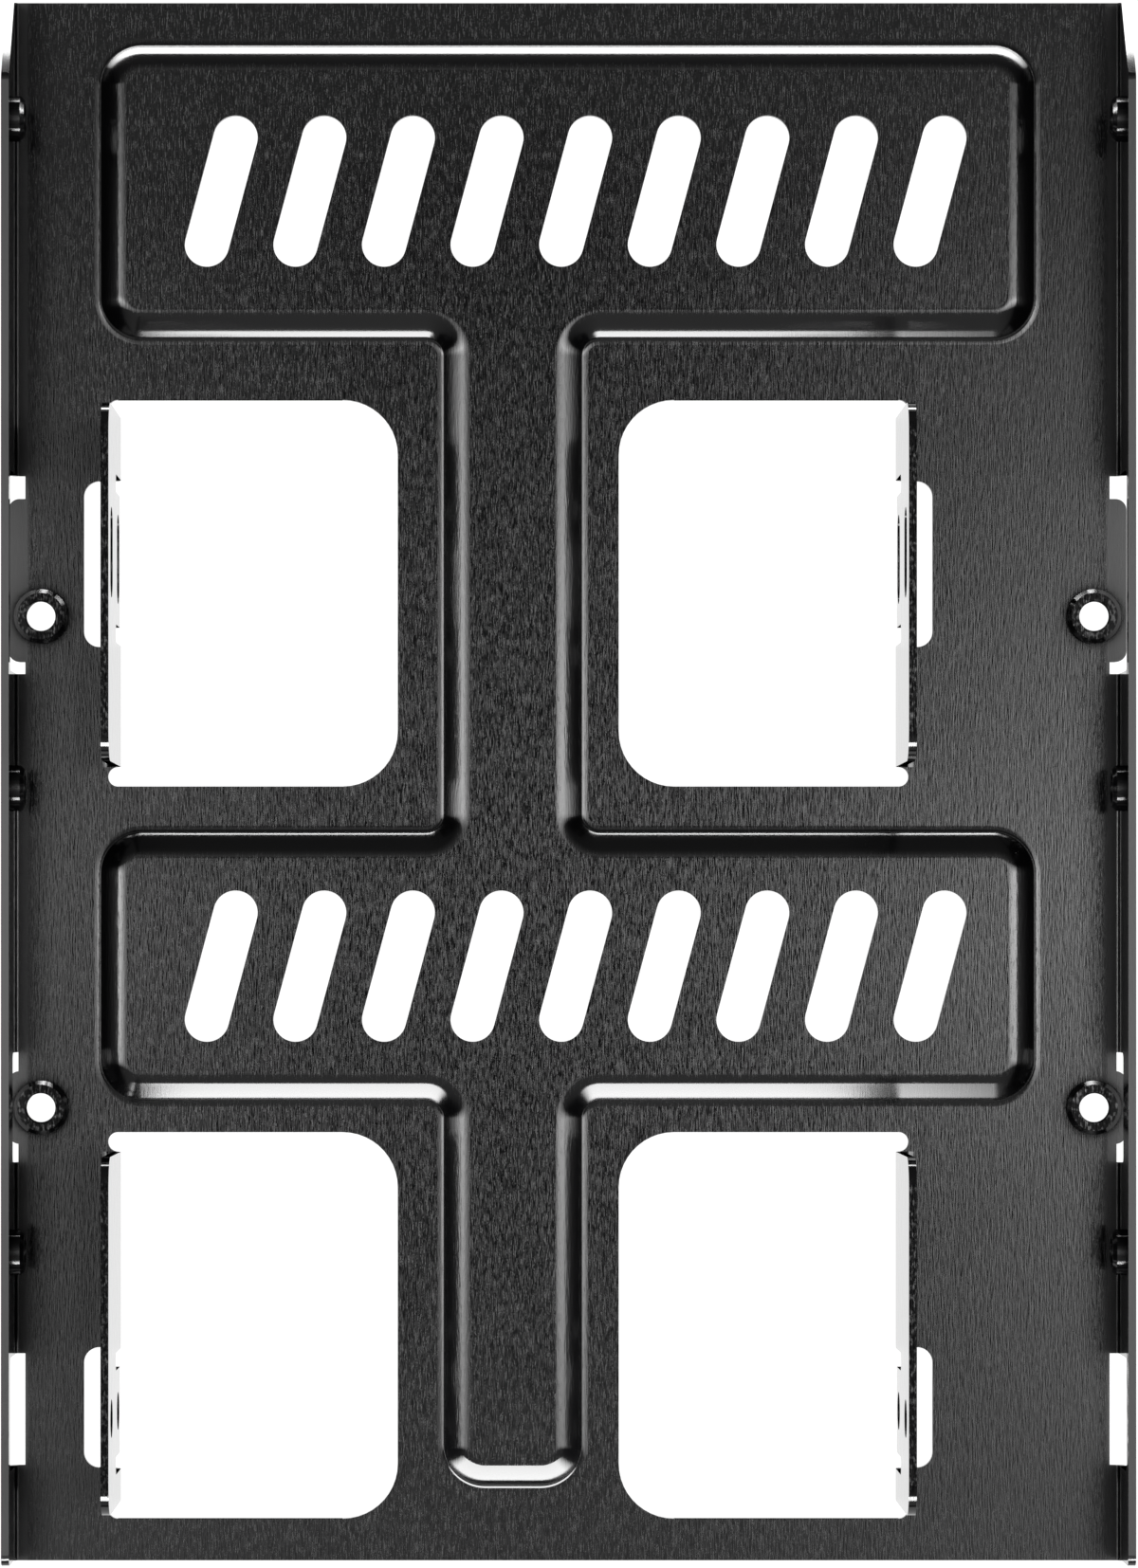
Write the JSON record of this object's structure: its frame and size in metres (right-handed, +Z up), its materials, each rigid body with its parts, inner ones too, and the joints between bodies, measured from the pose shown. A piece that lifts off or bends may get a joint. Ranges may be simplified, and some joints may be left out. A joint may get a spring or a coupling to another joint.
{
  "type": "dual drive mounting bracket",
  "caption": "Folded sheet-steel bracket with side flanges, upright tabs and a raised rib; holds stacked 2.5 inch drives in a 3.5 inch drive bay.",
  "frame": {"origin": "underside of the plate, at the middle of its length and width", "axes": "+X across the bracket, +Y along it towards the sloped flange ends, +Z up, the way the flanges and tabs are folded"},
  "size_m": [0.1012, 0.141, 0.0207],
  "materials": {
    "black_paint": "satin black over sheet steel with a fine lengthwise grain"
  },
  "bodies": {
    "root": {"drive_bracket": "black_paint"}
  },
  "joints": []
}
